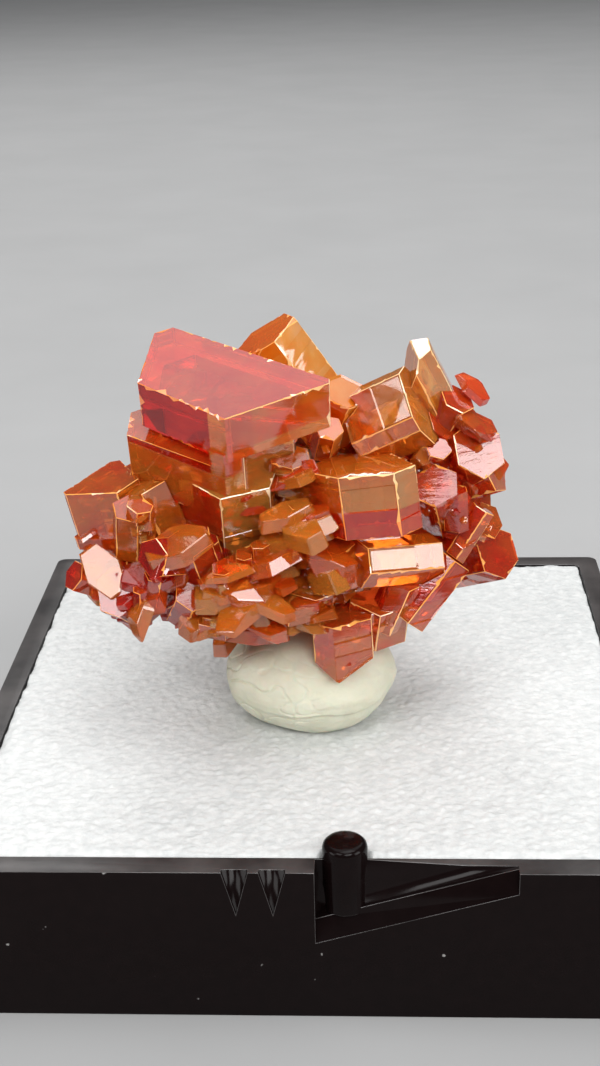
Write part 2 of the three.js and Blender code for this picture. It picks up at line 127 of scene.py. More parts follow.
middle = Vector((0, 0, 0.016))
area_light("ceiling_light", (0.02, 0.24, 0.50), middle, (0.62, 0.62), 1.7)
area_light("overhead_light", (0.05, -0.04, 0.36), middle, (0.24, 0.20), 0.55)
area_light("front_light", (0.14, -0.40, 0.34), middle, (0.26, 0.18), 1.25)
area_light("back_light", (-0.10, 0.30, 0.26), middle, (0.16, 0.10), 0.30)
area_light("right_light", (0.27, -0.12, 0.14), middle, (0.15, 0.14), 0.40)
area_light("corner_light", (-0.15, -0.21, 0.25), middle, (0.14, 0.12), 0.28)
area_light("left_light", (-0.28, -0.14, 0.105), middle, (0.15, 0.11), 0.24)

world = bpy.data.worlds.new("dim_room")
world.use_nodes = True
world.node_tree.nodes["Background"].inputs["Color"].default_value = (0.30, 0.31, 0.33, 1)
world.node_tree.nodes["Background"].inputs["Strength"].default_value = 0.3
bpy.context.scene.world = world
bpy.context.scene.view_settings.view_transform = "Standard"

# %% [markdown]
# ## Small helpers for materials
# Every finish here starts from one Principled shader, whose fixed sockets are set as plain numbers.
# Patterns read Object coordinates in metres, so a pattern's scale is counted in turns per metre and
# a one millimetre grain has a scale of a thousand.

# %% Material helpers
def start_material(name, **sockets):
    material = bpy.data.materials.new(name)
    material.use_nodes = True
    shader = material.node_tree.nodes["Principled BSDF"]
    for socket, value in sockets.items():
        shader.inputs[socket.replace("_", " ")].default_value = value
    return material, material.node_tree, shader


def noise_node(tree, scale, detail=4.0, roughness=0.55, stretch=(1, 1, 1), distortion=0.0):
    coordinates = tree.nodes.new("ShaderNodeTexCoord")
    mapping = tree.nodes.new("ShaderNodeMapping")
    mapping.inputs["Scale"].default_value = stretch
    tree.links.new(coordinates.outputs["Object"], mapping.inputs["Vector"])
    texture = tree.nodes.new("ShaderNodeTexNoise")
    texture.inputs["Scale"].default_value = scale
    texture.inputs["Detail"].default_value = detail
    texture.inputs["Roughness"].default_value = roughness
    texture.inputs["Distortion"].default_value = distortion
    tree.links.new(mapping.outputs["Vector"], texture.inputs["Vector"])
    return texture.outputs["Fac"]


def ramp_node(tree, source, stops):
    ramp = tree.nodes.new("ShaderNodeValToRGB")
    while len(ramp.color_ramp.elements) < len(stops):
        ramp.color_ramp.elements.new(0.5)
    for element, (place, colour) in zip(ramp.color_ramp.elements, stops):
        element.position = place
        element.color = (*colour, 1)
    tree.links.new(source, ramp.inputs["Fac"])
    return ramp.outputs["Color"]


def range_node(tree, source, low, high):
    span = tree.nodes.new("ShaderNodeMapRange")
    span.inputs["To Min"].default_value = low
    span.inputs["To Max"].default_value = high
    tree.links.new(source, span.inputs["Value"])
    return span.outputs["Result"]


def bump_node(tree, shader, source, strength, height):
    bump = tree.nodes.new("ShaderNodeBump")
    bump.inputs["Strength"].default_value = strength
    bump.inputs["Distance"].default_value = height
    tree.links.new(source, bump.inputs["Height"])
    tree.links.new(bump.outputs["Normal"], shader.inputs["Normal"])

# %% [markdown]
# ## The floor
# The box stands on a plain pale sheet, large enough to fill the view from every side. Its grey is a
# middle one, because the side faces of the crystals mirror it, and a white floor would wash out
# their red.

# %% Lay the floor
FLOOR_HALF = 2.0

floor_material, tree, shader = start_material("pale_floor", Roughness=0.85)
grain = noise_node(tree, 60, detail=3)
floor_colour = ramp_node(tree, grain, [(0.3, (0.36, 0.36, 0.36)), (0.7, (0.38, 0.38, 0.38))])
tree.links.new(floor_colour, shader.inputs["Base Color"])

floor_mesh = bpy.data.meshes.new("floor")
bm = bmesh.new()
bmesh.ops.create_grid(bm, x_segments=1, y_segments=1, size=FLOOR_HALF)
bm.to_mesh(floor_mesh)
bm.free()
floor = bpy.data.objects.new("floor", floor_mesh)
floor_mesh.materials.append(floor_material)
bpy.context.scene.collection.objects.link(floor)
print("floor is", 2 * FLOOR_HALF, "m wide")

# %% [markdown]
# ## Clear crystal
# Vanadinite bends light more than most gems, and its faces give about a sixth of the light back as
# a mirror image, which makes them look half metallic. Its true refractive index is near 2.4. Light
# paths are cut short here after a few bounces, and at 2.4 most of them would end in the dark inside
# the stone. So the index is set lower, and the mirror strength is raised to make up for most of it.
# The body colour comes from depth, as an absorption in the volume, plain and even.
# A share of plain colour is kept beside the clear part, for the veils and tiny cracks that make a natural
# crystal cloudy. Every face carries a number called zone, from deep red to pale honey. It changes with
# height and a little from face to face. Faces that look to the right get a paler zone, as painted light
# from that side. A soft noise shifts it, so that no face is even.
# Two finishes go with the clear ones. A worn edge is full of fine chips that scatter the light, so it is
# made opaque. Its golden colour is a painted glow, standing in for the light that shines through the thin
# edges. One side of the big tablet is kept a little dull, with the same red and less mirror, because the
# pale floor in it would wash the red out.

# %% Make the crystal materials
CRYSTAL_IOR = 1.75
MIRROR_LEVEL = 0.95
CLEAR_SHARE = 0.68
ZONE_NOISE = 0.35


def crystal_material(
    name, zone_colours, depth=None, clear=CLEAR_SHARE, rough=(0.0, 0.06), mirror=MIRROR_LEVEL
):
    """A finish coloured by the zone of each face, and by its depth where a colour and density are given."""
    material, tree, shader = start_material(
        name, IOR=CRYSTAL_IOR, Transmission_Weight=clear, Specular_IOR_Level=mirror
    )
    sector = tree.nodes.new("ShaderNodeAttribute")
    sector.attribute_name = "zone"
    cloud = noise_node(tree, 520, detail=5, roughness=0.6, stretch=(1, 1, 0.6), distortion=0.3)
    shift = range_node(tree, cloud, -ZONE_NOISE, ZONE_NOISE)
    zone = tree.nodes.new("ShaderNodeMath")
    zone.operation = "ADD"
    tree.links.new(sector.outputs["Fac"], zone.inputs[0])
    tree.links.new(shift, zone.inputs[1])
    places = [0.0, 0.25, 0.5, 0.75, 1.0]
    stops = list(zip(places, zone_colours))
    tree.links.new(ramp_node(tree, zone.outputs["Value"], stops), shader.inputs["Base Color"])
    smear = noise_node(tree, 1500, detail=6, roughness=0.7)
    tree.links.new(range_node(tree, smear, *rough), shader.inputs["Roughness"])
    lines = noise_node(tree, 1300, detail=5, roughness=0.6, stretch=(0.35, 0.35, 2.6))
    bump_node(tree, shader, lines, 0.2, 0.03 * MM)
    if depth:
        depth_colour, density = depth
        absorption = tree.nodes.new("ShaderNodeVolumeAbsorption")
        absorption.inputs["Color"].default_value = (*depth_colour, 1)
        absorption.inputs["Density"].default_value = density
        tree.links.new(absorption.outputs["Volume"], tree.nodes["Material Output"].inputs["Volume"])
    return material


RED_ZONES = [
    (0.50, 0.004, 0.002), (0.84, 0.03, 0.006), (1.0, 0.13, 0.02), (1.0, 0.29, 0.03), (1.0, 0.46, 0.08),
]
RED_DEPTH = ((1.0, 0.34, 0.07), 120)
RED = crystal_material("deep_red_crystal", RED_ZONES, RED_DEPTH)
DULL_RED = crystal_material("deep_red_dull_face", RED_ZONES, RED_DEPTH, mirror=0.12)
ORANGE = crystal_material(
    "orange_red_crystal",
    [(0.84, 0.02, 0.004), (1.0, 0.11, 0.01), (1.0, 0.24, 0.02), (1.0, 0.38, 0.05), (1.0, 0.58, 0.20)],
    ((1.0, 0.52, 0.10), 90),
)
AMBER = crystal_material(
    "amber_crystal",
    [(1.0, 0.10, 0.002), (1.0, 0.19, 0.004), (1.0, 0.30, 0.02), (1.0, 0.46, 0.10), (1.0, 0.62, 0.30)],
    ((1.0, 0.60, 0.12), 100), clear=0.5, rough=(0.04, 0.2), mirror=0.5,
)
# the golden edge colour is a painted glow of light through thin edges, not the crystal's own colour
EDGE = crystal_material(
    "golden_edge_painted_glow",
    [(1.0, 0.24, 0.03), (1.0, 0.34, 0.05), (1.0, 0.45, 0.10), (1.0, 0.60, 0.24), (1.0, 0.76, 0.46)],
    clear=0.0, rough=(0.06, 0.25),
)
FINISHES = {"red_crystal": RED, "orange_crystal": ORANGE, "amber_crystal": AMBER}
print("crystal materials:", [m.name for m in FINISHES.values()])

# %% [markdown]
# ## From plain prisms to grown crystals
# A real crystal face is never one plane. It grew in thin layers, so it carries low steps that run
# round the prism, and its edges are slightly worn. Each solid is copied and its triangles are merged
# back into whole faces, which later cuts need. The welding distance is tiny, because in one spot
# two crystals come within a hair of each other, and a wider weld would join them along an edge.
# Every seeded choice goes through the parts of a mesh sorted by place. Their order in memory can
# change from run to run, and the same seed would then wear other edges.

# %% Copy a solid, finish a piece
WELD = 0.0002 * MM
MERGE = 0.002 * MM
FLAT = math.radians(1.5)
SORTING_LINE = Vector((0.5377, 0.3189, 0.7801))
ROOT_BODY = next(iter(frame["bodies"]))


def place_of(element):
    """Where a point, an edge or a face is, as one number along a slanting line."""
    if isinstance(element, bmesh.types.BMVert):
        place = element.co
    elif isinstance(element, bmesh.types.BMEdge):
        place = (element.verts[0].co + element.verts[1].co) / 2
    else:
        place = element.calc_center_median()
    return place.dot(SORTING_LINE)


def in_order(elements):
    """Elements sorted by place, each once, so that every run's draws fall on the same ones."""
    return sorted(dict.fromkeys(elements), key=place_of)


def node_copy(node):
    """A bmesh of a solid, its loose triangles merged into whole flat faces."""
    bm = bmesh.new()
    bm.from_mesh(frame["nodes"][node].data)
    bmesh.ops.remove_doubles(bm, verts=bm.verts, dist=WELD)
    bmesh.ops.dissolve_limit(bm, angle_limit=FLAT, verts=bm.verts, edges=bm.edges)
    return bm


def finish_piece(bm, name, material, nodes=()):
    """Turns a bmesh into a piece of the specimen, riding on the root body."""
    mesh = bpy.data.meshes.new(name)
    bm.to_mesh(mesh)
    bm.free()
    for each in material if isinstance(material, tuple) else (material,):
        mesh.materials.append(each)
    piece = bpy.data.objects.new(name, mesh)
    bpy.context.scene.collection.objects.link(piece)
    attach(piece, ROOT_BODY)
    if nodes:
        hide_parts(*nodes)
    print(name, "has", len(mesh.polygons), "faces")
    return piece


# %% [markdown]
# ## Steps and worn edges
# The edges are worn first, while the solid is still clean, because a bevel gets no wider than the
# shortest edge beside it allows. Then planes are sliced across the solid where layers end, and some
# of the strips are inset and sunk by up to about an eighth of a millimetre. A bump texture would be
# quicker, but its outline would stay straight and the clear body would not bend light at the steps.

# %% Steps and worn edges
def slice_across(bm, axis, spacing, draw):
    """Cuts the whole mesh by planes nearly at right angles to an axis, at uneven distances."""
    heights = [v.co.dot(axis) for v in bm.verts]
    level = min(heights) + spacing * draw.uniform(0.3, 1)
    while level < max(heights):
        lean = Vector([draw.uniform(-0.06, 0.06) for _ in range(3)])
        geometry = list(bm.verts) + list(bm.edges) + list(bm.faces)
        bmesh.ops.bisect_plane(
            bm, geom=geometry, dist=MERGE, plane_co=axis * level, plane_no=(axis + lean).normalized()
        )
        level += spacing * draw.uniform(0.4, 1.7)


def grow_steps(bm, axis, share, step, draw):
    """Sinks some of the strips, as layers that ended short of the edge."""
    flats = [f for f in bm.faces if f.material_index == 0 and f.calc_area() > (0.5 * MM) ** 2]
    sides = [f for f in flats if abs(f.normal.dot(axis)) < 0.6]
    for face in [f for f in in_order(sides) if draw.random() < share]:
        depth = -step * draw.uniform(0.3, 1.8)
        rim = draw.uniform(0.02, 0.11) * MM
        bmesh.ops.inset_individual(bm, faces=[face], thickness=rim, depth=depth, use_even_offset=True)


def wear_edges_with_glow(bm, width, shortest):
    """Bevels the outer edges that have room for it, and gives the new strips the golden edge finish, a
    painted glow.
    """
    roomy = {v for v in bm.verts if all(e.calc_length() > shortest for e in v.link_edges)}
    sharp = [
        e for e in bm.edges
        if e.is_manifold and e.is_convex and e.calc_face_angle(0) > math.radians(25)
        and roomy.issuperset(e.verts)
    ]
    made = bmesh.ops.bevel(
        bm, geom=sharp, offset=width, offset_type="OFFSET", segments=1, profile=0.5,
        affect="EDGES", material=-1, clamp_overlap=True,
    )
    # the bevel strips get the golden finish: a painted glow along the edges
    for face in made["faces"]:
        face.material_index = 1


# %% [markdown]
# ## Ragged edges
# A worn edge is not a ruled line. The strips of wear are cut across at uneven distances, and the points of
# their borders slide a little way into the flat faces beside them. So the golden line, a painted glow on
# the strips, gets ragged while every face stays flat. Noise on all the points would be simpler, but it
# would buckle the faces, and on a mirror even a slight buckle shows.

# %% Ragged edges
def distance_to_edge(point, edge):
    start, end = (v.co for v in edge.verts)
    along = end - start
    share = max(0.0, min(1.0, (point - start).dot(along) / max(along.length_squared, 1e-18)))
    return (point - start - along * share).length


def cut_strips(bm, spacing, draw):
    """Lays cuts across the worn strips and the faces beside them, at uneven distances."""
    borders = [e for e in in_order(bm.edges) if sum(f.material_index for f in e.link_faces) == 1]
    ends = [sorted((v.co.copy() for v in e.verts), key=SORTING_LINE.dot) for e in borders]
    lines = [(start, end - start) for start, end in ends]
    for start, along in lines:
        if along.length < 2 * spacing:
            continue
        direction = along.normalized()
        place = spacing * draw.uniform(0.4, 1.2)
        while place < along.length - 0.4 * spacing:
            point = start + direction * place
            near = [f for f in bm.faces if abs((point - f.verts[0].co).dot(f.normal)) < MERGE]
            near = [f for f in near if any(distance_to_edge(point, e) < MERGE for e in f.edges)]
            parts = in_order(part for f in near for part in (f, *f.edges, *f.verts))
            bmesh.ops.bisect_plane(bm, geom=parts, dist=MERGE, plane_co=point, plane_no=direction)
            place += spacing * draw.uniform(0.5, 1.6)


def flats_only(edge, flats):
    return all(f in flats for f in edge.link_faces)


def jag_strips(bm, reach, draw):
    """Slides points of the strips' borders into the flat faces beside them: ragged, still flat."""
    for vertex in in_order(bm.verts):
        borders = [e for e in vertex.link_edges if sum(f.material_index for f in e.link_faces) == 1]
        flats = [f for f in vertex.link_faces if f.material_index == 0]
        if len(borders) != 2 or not flats or len(vertex.link_edges) < 4:
            continue
        normal = flats[0].normal
        if any(f.normal.dot(normal) < 0.9999 for f in flats):
            continue
        ends = [e.other_vert(vertex).co for e in borders]
        along = (ends[1] - ends[0]).normalized()
        if abs((vertex.co - ends[0]).normalized().dot(along)) < 0.9999:
            continue
        across = [e for e in vertex.link_edges if e not in borders and flats_only(e, flats)]
        if len(across) != 1:
            continue
        inward = across[0].other_vert(vertex).co - vertex.co
        slide = min(reach * draw.random() ** 3, 0.3 * inward.length)
        vertex.co += inward.normalized() * slide


# %% [markdown]
# ## Colour zones
# Each face gets its zone from its height in the group, from the side that it looks to, and from a little
# chance. The side part is painted light: faces that look to the right are made paler, as if lit from there.
# It is kept as a number on the face rather than worked out in the material, because neighbouring faces of a
# real crystal change colour at the edge between them, in one step.

# %% Colour zones
def zone_faces(bm, low, high, painted_light_from_right, draw):
    """Writes each face's zone: low in the lower half, high in the upper, paler on faces that look right, as
    painted light from that side.
    """
    layer = bm.faces.layers.float.new("zone")
    heights = [v.co.z for v in bm.verts]
    foot, top = min(heights), max(heights)
    for face in in_order(bm.faces):
        share = (face.calc_center_median().z - foot) / (top - foot)
        rise = max(0.0, min(1.0, (share - 0.45) / 0.2))
        # faces that look to the right get a paler zone: painted light from the right
        zone = low + (high - low) * rise + painted_light_from_right * face.normal.x + draw.uniform(-0.13, 0.13)
        face[layer] = max(0.0, min(1.0, zone))


def keep_close(bm, node, reach):
    """Puts back any point that a bevel threw further than a reach from the solid's own surface."""
    surface = BVHTree.FromPolygons(
        [v.co for v in frame["nodes"][node].data.vertices],
        [tuple(p.vertices) for p in frame["nodes"][node].data.polygons],
    )
    moved = 0
    for vertex in bm.verts:
        place, _normal, _index, distance = surface.find_nearest(vertex.co)
        if distance > reach:
            vertex.co = place
            moved += 1
    bmesh.ops.dissolve_degenerate(bm, dist=WELD, edges=bm.edges)
    return moved


def front_bands(bm, axis, bands):
    """Sets off a band on each side of a tablet's foremost edge, and gives it a zone of its own."""
    layer = bm.faces.layers.float["zone"]
    heights = [v.co.z for v in bm.verts]
    middle_height = (min(heights) + max(heights)) / 2
    front = min((v.co.copy() for v in bm.verts if v.co.z > middle_height), key=lambda c: c.y)

    def on_side(face, side):
        high = face.calc_center_median().z > middle_height
        return high and face.material_index == 0 and face.normal.y < -0.5 and face.normal.x * side > 0.3

    for side, width, zone in bands:
        faces = [f for f in bm.faces if on_side(f, side)]
        away = axis.cross(faces[0].normal).normalized()
        away *= math.copysign(1, away.x * side)
        parts = in_order(part for f in faces for part in (f, *f.edges, *f.verts))
        bmesh.ops.bisect_plane(
            bm, geom=parts, dist=MERGE, plane_co=front + away * width, plane_no=away
        )
        for face in bm.faces:
            if on_side(face, side) and (face.calc_center_median() - front).dot(away) < width:
                face[layer] = zone


def dull_side(bm):
    """Gives the tablet's front left side, apart from its golden band, the duller finish."""
    layer = bm.faces.layers.float["zone"]
    for face in bm.faces:
        left = face.normal.y < -0.4 and face.normal.x < -0.3
        if left and face.material_index == 0 and face[layer] < 0.7:
            face.material_index = 2


# %% [markdown]
# ## Grow every group
# All groups go through the same steps. What differs is written in one table: the direction that the group
# grew in, how its colour runs from foot to top and from left to right, where the paler right is painted
# light, and how ragged its edges are. The big tablet also has a paler band on each side of its front edge.
# A bevel can throw a point far out at a very thin corner, so the last step puts such points back on the
# solid.

# %% Grow the crystals
EDGE_WEAR = 0.03 * MM
ROOM_FOR_WEAR = 0.2 * MM
LAYER_SPACING = 0.9 * MM
STEP_SHARE = 0.4
STEP_DEPTH = 0.07 * MM
CUT_SPACING = 0.45 * MM
STRAY_LIMIT = 0.3 * MM


def crystal_piece(node, seed):
    draw = random.Random(seed)
    axis, zones, ragged = GROWTH[node]
    bm = node_copy(node)
    direction = Vector(axis).normalized()
    finishes = (FINISHES[SLOTS[node]], EDGE)
    wear_edges_with_glow(bm, EDGE_WEAR, ROOM_FOR_WEAR)
    slice_across(bm, direction, LAYER_SPACING, draw)
    grow_steps(bm, direction, STEP_SHARE, STEP_DEPTH, draw)
    zone_faces(bm, *zones, draw)
    if node == "main_crystal":
        front_bands(bm, direction, FRONT_BANDS)
    cut_strips(bm, CUT_SPACING, draw)
    jag_strips(bm, ragged * MM, draw)
    if node == "main_crystal":
        dull_side(bm)
        finishes += (DULL_RED,)
    bmesh.ops.triangulate(bm, faces=[f for f in bm.faces if len(f.verts) > 4])
    print(node, "points put back:", keep_close(bm, node, STRAY_LIMIT))
    name = node.replace("crystals", "growth").replace("crystal", "growth")
    return finish_piece(bm, name, finishes, [node])


TILT = math.radians(18)
SLOTS = {row["node"]: row["material_slot"] for row in frame["record"]["subparts"]}
# node: (growth direction, (zone at the foot, zone at the top, change to the right as painted light), ragged
# edge in mm)
GROWTH = {
    "main_crystal": ((0, -math.sin(TILT), math.cos(TILT)), (1.0, 0.26, 0.80), 0.3),
    "amber_crystal": ((-0.55, -0.1, 0.83), (0.35, 0.45, 0.40), 0.35),
    "pale_crystal": ((0.82, -0.3, 0.48), (0.55, 0.90, 0.05), 0.18),
    "block_crystal": ((-0.12, 0.12, 0.98), (0.15, 0.60, 0.15), 0.18),
    "barrel_crystal": ((-0.85, -0.5, 0.15), (0.35, 0.50, 0.10), 0.18),
    "left_crystals": ((-0.2, -0.05, 0.97), (0.40, 0.45, 0.10), 0.18),
    "lower_left_crystals": ((-0.3, -0.6, 0.7), (0.30, 0.30, 0.15), 0.18),
    "bottom_crystals": ((-0.05, 0.02, 1), (0.55, 0.35, 0.15), 0.3),
    "right_crystals": ((0.5, -0.5, 0.6), (0.40, 0.40, 0.15), 0.18),
    "lower_crystals": ((0, -0.15, 0.98), (0.30, 0.45, 0.10), 0.18),
    "back_crystals": ((0.1, 0.8, 0.5), (0.30, 0.45, 0.10), 0.18),
}
# side of the big tablet's front edge, width of its band, zone
FRONT_BANDS = ((-1, 0.95 * MM, 0.8), (1, 1.3 * MM, 0.55))
for seed, node in enumerate(GROWTH, start=1):
    crystal_piece(node, seed)

# %% [markdown]
# ## Ledges and splinters
# A crystal of this kind rarely ends in one clean prism. Broken plates of later growth stand on its
# sides with nearly the same axis, and splinters line the cracks between prisms. None of them is a
# whole prism, so a row of different shards is made first: each is a six-sided cone with equal ends,
# squeezed unevenly and cut by a few slanting planes, whose openings are closed again. Hundreds of
# shards are then copies of these few, which keeps every copy at a few dozen faces. They are made
# one unit across and sized when they are placed.

# %% Cut a row of shards
SHARD_KINDS = 14
SHARD_WEAR = 0.045
SHARD_ROOM_FOR_WEAR = 0.12
SHARD_WELD = 0.02


def make_shard(seed):
    """An irregular piece of a six-sided prism, about one unit across."""
    draw = random.Random(seed)
    bm = bmesh.new()
    squeeze = Matrix.Diagonal((1.0, draw.uniform(0.45, 0.95), 1.0, 1.0))
    bmesh.ops.create_cone(
        bm, cap_ends=True, segments=6, radius1=1.0, radius2=draw.uniform(0.8, 1.0),
        depth=draw.uniform(0.8, 1.4), matrix=squeeze,
    )
    for _ in range(draw.choice((1, 2, 2, 3))):
        normal = Vector((draw.uniform(-1, 1), draw.uniform(-1, 1), draw.uniform(-0.6, 0.6))).normalized()
        geometry = list(bm.verts) + list(bm.edges) + list(bm.faces)
        cut = bmesh.ops.bisect_plane(
            bm, geom=geometry, dist=0.001, plane_co=normal * draw.uniform(0.4, 0.75), plane_no=normal,
            clear_outer=True,
        )
        rim = [e for e in cut["geom_cut"] if isinstance(e, bmesh.types.BMEdge)]
        if rim:
            bmesh.ops.contextual_create(bm, geom=rim)
    bmesh.ops.remove_doubles(bm, verts=bm.verts, dist=SHARD_WELD)
    bmesh.ops.recalc_face_normals(bm, faces=bm.faces)
    wear_edges_with_glow(bm, SHARD_WEAR, SHARD_ROOM_FOR_WEAR)
    for face in bm.faces:
        face.material_index = 0
    mesh = bpy.data.meshes.new("shard")
    bm.to_mesh(mesh)
    open_edges = sum(not e.is_manifold for e in bm.edges)
    bm.free()
    return mesh, open_edges


shards = [mesh for mesh, open_edges in map(make_shard, range(SHARD_KINDS)) if open_edges == 0]
print("closed shards:", len(shards), "of", SHARD_KINDS, "faces:", [len(m.polygons) for m in shards])

# %% [markdown]
# ## Scatter the shards
# Each shard stands on a random spot of a group's surface, mostly sunk, so that only a ledge looks
# out. Plates lie like the pages of a book that was bent a few times: each takes one of a few shared
# directions near the group's axis, which makes their flat tops flash together. Splinters lean out
# further. A shard's size, spot, turn and zone all come from one seeded source.

# %% Helpers for the shards
def surface_spots(bm, count, draw):
    """Random points on the faces, each face as likely as its share of the area."""
    faces = in_order(bm.faces)
    areas = [f.calc_area() for f in faces]
    spots = []
    for face in draw.choices(faces, weights=areas, k=count):
        corners = [v.co for v in in_order(face.verts)]
        weights = [draw.random() for _ in corners]
        place = sum((c * w for c, w in zip(corners, weights)), Vector()) / sum(weights)
        spots.append((place, face.normal.copy()))
    return spots


def add_shard(bm, mesh, place, axis, size, spin, zone):
    """A copy of one shard, stretched to a size and set on a place with its own z along an axis."""
    layer = bm.faces.layers.float["zone"]
    turn = axis.to_track_quat("Z", "Y").to_matrix().to_4x4() @ Matrix.Rotation(spin, 4, "Z")
    points_before = len(bm.verts)
    faces_before = len(bm.faces)
    bm.from_mesh(mesh)
    bm.verts.ensure_lookup_table()
    bm.faces.ensure_lookup_table()
    matrix = Matrix.Translation(place) @ turn @ Matrix.Diagonal((*size, 1.0))
    bmesh.ops.transform(bm, matrix=matrix, verts=bm.verts[points_before:])
    for face in bm.faces[faces_before:]:
        face[layer] = zone


# %% Scatter plates and splinters
BOOKS = 5


def grown_over(node, seed, plates=0, splinters=0, plate_width=(0.5, 1.3), zones=(0.2, 0.8), below=1.0):
    """Plates and splinters over a group's surface, or over its part below a share of its height."""
    draw = random.Random(seed)
    source = node_copy(node)
    low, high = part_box(node)
    limit = low.z + (high.z - low.z) * below
    parent_axis = Vector(GROWTH[node][0]).normalized()
    parent_spin = draw.uniform(0, math.pi / 3)
    books = []
    for _ in range(BOOKS):
        lean = Vector([draw.uniform(-0.35, 0.35) for _ in range(3)])
        books.append(((parent_axis + lean).normalized(), parent_spin + draw.uniform(-0.2, 0.2)))
    bm = bmesh.new()
    bm.faces.layers.float.new("zone")
    for place, normal in surface_spots(source, plates, draw):
        width = draw.uniform(*plate_width) * MM
        thickness = width * draw.uniform(0.18, 0.45)
        inside = place - normal * width * draw.uniform(0.6, 0.95)
        size = (width, width * draw.uniform(0.5, 0.9), thickness)
        axis, spin = draw.choice(books)
        spin += math.pi / 3 * draw.randrange(6)
        zone = draw.uniform(*zones)
        if inside.z < limit:
            add_shard(bm, draw.choice(shards), inside, axis, size, spin, zone)
    for place, normal in surface_spots(source, splinters, draw):
        width = draw.uniform(0.14, 0.34) * MM
        jitter = Vector([draw.uniform(-0.5, 0.5) for _ in range(3)])
        axis = (normal * 0.5 + parent_axis * 0.8 + jitter).normalized()
        size = (width, width * draw.uniform(0.5, 0.9), width * draw.uniform(1.2, 2.6))
        zone = draw.uniform(*zones)
        if place.z < limit:
            add_shard(bm, draw.choice(shards), place, axis, size, draw.uniform(0, 6.3), zone)
    source.free()
    slot = SLOTS[node]
    name = node.replace("_crystals", "").replace("_crystal", "") + "_ledges"
    return finish_piece(bm, name, FINISHES[slot])


grown_over("main_crystal", 30, plates=70, plate_width=(0.8, 1.5), zones=(0.25, 0.75), below=0.6)
grown_over("lower_crystals", 31, plates=200, splinters=30, plate_width=(0.9, 2.2), zones=(0.2, 0.8))
grown_over("lower_left_crystals", 32, plates=70, plate_width=(0.8, 1.8), zones=(0.1, 0.9))
grown_over("bottom_crystals", 33, plates=26, plate_width=(0.4, 0.8), zones=(0.3, 0.9))
grown_over("right_crystals", 34, plates=150, splinters=10, plate_width=(0.5, 1.4))
grown_over("left_crystals", 35, plates=80, plate_width=(0.4, 1.1), zones=(0.3, 0.9))
grown_over("amber_crystal", 38, plates=14, plate_width=(0.4, 0.9), zones=(0.3, 1))
grown_over("pale_crystal", 37, plates=20, plate_width=(0.3, 0.8), zones=(0.5, 1))
grown_over("back_crystals", 36, plates=130, splinters=80)

# %% [markdown]
# ## The rock behind
# The matrix is what the crystals grew on. It shows only at the back and underneath, as rough brown
# rock between the prisms. Its solid is cut finer and its points are pushed inwards by an uneven
# noise, never outwards, so that it stays clear of the crystals that sit on it.

# %% Roughen the rock
rock_material, tree, shader = start_material("brown_rock", Roughness=0.9)
patches = noise_node(tree, 450, detail=8, roughness=0.7)
rock_colours = [(0.30, (0.10, 0.07, 0.05)), (0.50, (0.30, 0.20, 0.13)), (0.70, (0.52, 0.40, 0.28))]
tree.links.new(ramp_node(tree, patches, rock_colours), shader.inputs["Base Color"])
bump_node(tree, shader, noise_node(tree, 2600, detail=6), 0.6, 0.06 * MM)


ROCK_CUTS = 2
ROCK_DEPTH = 0.22 * MM
ROCK_LUMPS = 900


def roughened(node, cuts, depth, scale):
    """A finer copy of a solid, its points pushed in by an uneven noise."""
    bm = bmesh.new()
    bm.from_mesh(frame["nodes"][node].data)
    bmesh.ops.remove_doubles(bm, verts=bm.verts, dist=MERGE)
    bmesh.ops.subdivide_edges(bm, edges=bm.edges, cuts=cuts, use_grid_fill=True)
    bmesh.ops.triangulate(bm, faces=bm.faces)
    bm.normal_update()
    for vertex in bm.verts:
        rough = 0.5 + 0.5 * noise.fractal(vertex.co * scale, 0.8, 2.2, 5)
        vertex.co -= vertex.normal * depth * max(0.0, min(1.0, rough))
    return bm


rock = roughened("matrix", ROCK_CUTS, ROCK_DEPTH, ROCK_LUMPS)
finish_piece(rock, "rock", rock_material, ["matrix"])

# %% [markdown]
# ## The foam
# The insert is cut from expanded polystyrene: thousands of beads a little under half a millimetre
# across, pressed together and sliced. The sheet starts as a fine grid. Cell noise gives each point its
# distance to the nearest bead's middle, and the point sinks with it, so that each bead is a dome.
# The rim of the grid is then extruded down and closed. A bump would do for the flat middle, but the
# ragged edge along the black wall needs real shape. The post of the box stands just in front of the
# foam, and the points beside it are pressed down so that they stay clear of it.
# One of the noises starts from the clock unless it is given a seed. It gets a seed here, so that
# every run gives the same beads.

# %% Measure the foam and the post
foam_low, foam_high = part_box("foam_insert")
base_points = [v.co.copy() for v in frame["nodes"]["box_base"].data.vertices]
post_points = [p for p in base_points if p.z > foam_high.z + 0.3 * MM]
post_middle = sum(post_points, Vector()) / len(post_points)
post_radius = max((p.xy - post_middle.xy).length for p in post_points)
print("post radius, mm:", round(post_radius / MM, 2))

# %% Make the foam
BEAD = 0.4 * MM
BEAD_RISE = 0.075 * MM
FOAM_SEGMENTS = 280
BEAD_SEED = 5
TORN_RIM = 0.35 * MM
TORN_DEPTH = 0.16 * MM
POST_CLEARANCE = 0.12 * MM
POST_WELL = 0.9 * MM

